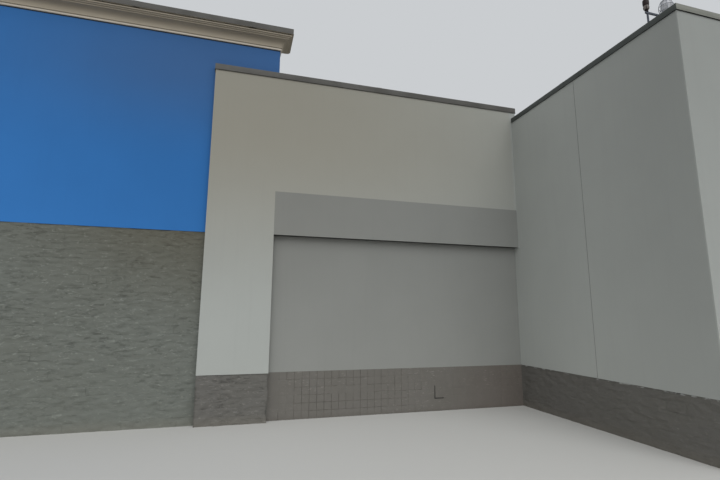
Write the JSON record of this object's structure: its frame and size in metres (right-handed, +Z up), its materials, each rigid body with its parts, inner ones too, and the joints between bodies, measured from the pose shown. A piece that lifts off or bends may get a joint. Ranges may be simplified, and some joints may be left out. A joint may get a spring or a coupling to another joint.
{
  "type": "supermarket building",
  "caption": "Flat-roofed shop building: tall blue screen wall with a cornice, light walls on dark block bases, a closed-in bay under a header, and a wing in front at the right.",
  "frame": {"origin": "on the ground, under the middle of the building's bounding box", "axes": "+X to the right along the front, +Y into the building from the front, +Z up"},
  "size_m": [33.608, 26.139, 11.04],
  "materials": {
    "split_face_block": "painted split-face concrete block, rough",
    "scored_block": "painted scored concrete block",
    "blue_coat": "blue sand-finish exterior wall coat, matte",
    "light_coat": "light grey sand-finish exterior wall coat, matte",
    "header_coat": "mid grey sand-finish exterior wall coat, matte",
    "cornice_coat": "warm grey coated foam moulding, matte",
    "coping_metal": "prefinished sheet metal, satin",
    "roof_deck": "primed ribbed steel deck",
    "roof_membrane": "pale single-ply roof sheet, matte",
    "sealant": "grey joint sealant, matte",
    "cover_metal": "painted steel cover plate",
    "bracket_metal": "weathered galvanised steel",
    "lamp_housing": "dark red-brown lamp housing",
    "guard_wire": "pale lamp in a wire guard"
  },
  "bodies": {
    "root": {"bay_header": "header_coat", "bay_wall": "header_coat", "bay_wall_base": "scored_block", "blue_wall": "blue_coat", "blue_wall_base": "split_face_block", "control_joints": "sealant", "cornice_coping": "coping_metal", "cornice_front": "cornice_coat", "cornice_left_return": "cornice_coat", "cornice_rear": "cornice_coat", "cornice_right_return": "cornice_coat", "cover_plate": "cover_metal", "guarded_lamp": "guard_wire", "head_wall": "light_coat", "head_wall_coping": "coping_metal", "lamp_arm": "bracket_metal", "lamp_posts": "bracket_metal", "left_pier": "light_coat", "left_pier_coping": "coping_metal", "left_side_base": "split_face_block", "left_side_coping": "coping_metal", "left_side_wall": "light_coat", "main_roof_deck": "roof_deck", "main_roof_membrane": "roof_membrane", "pier_bases": "split_face_block", "rear_base": "split_face_block", "rear_coping": "coping_metal", "rear_wall": "light_coat", "right_pier": "light_coat", "right_side_base": "split_face_block", "right_side_coping": "coping_metal", "right_side_wall": "light_coat", "roof_lamp": "lamp_housing", "roof_step_coping": "coping_metal", "roof_step_wall": "light_coat", "wing_front_base": "split_face_block", "wing_front_coping": "coping_metal", "wing_front_wall": "light_coat", "wing_rear_coping": "coping_metal", "wing_rear_wall": "light_coat", "wing_roof_deck": "roof_deck", "wing_roof_membrane": "roof_membrane", "wing_side_base": "split_face_block", "wing_side_coping": "coping_metal", "wing_side_wall": "light_coat"}
  },
  "joints": []
}
